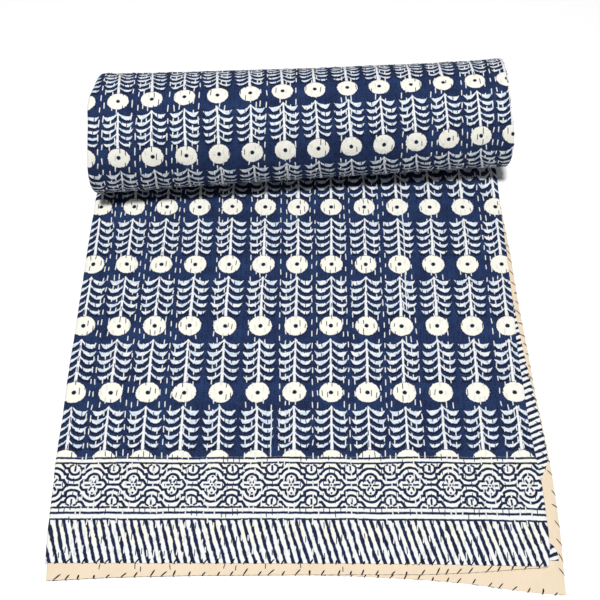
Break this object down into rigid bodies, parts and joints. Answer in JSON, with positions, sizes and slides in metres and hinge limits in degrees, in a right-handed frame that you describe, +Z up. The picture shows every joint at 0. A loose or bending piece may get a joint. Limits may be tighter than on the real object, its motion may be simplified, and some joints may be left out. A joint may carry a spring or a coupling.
{
  "type": "kantha quilt",
  "caption": "Hand-quilted cotton quilt with a block-printed indigo top and a plain cream backing, folded in quarters and part rolled.",
  "frame": {"origin": "middle of the object's footprint, on the surface it lies on", "axes": "+Z up, +Y from the front hems towards the roll, +X to the right across the folded width"},
  "size_m": [0.709, 0.831, 0.1949],
  "materials": {
    "printed_cotton": "matt block-printed cotton",
    "cream_cotton": "matt plain cotton"
  },
  "bodies": {
    "root": {"printed_top": "printed_cotton", "cream_backing": "cream_cotton"}
  },
  "joints": []
}
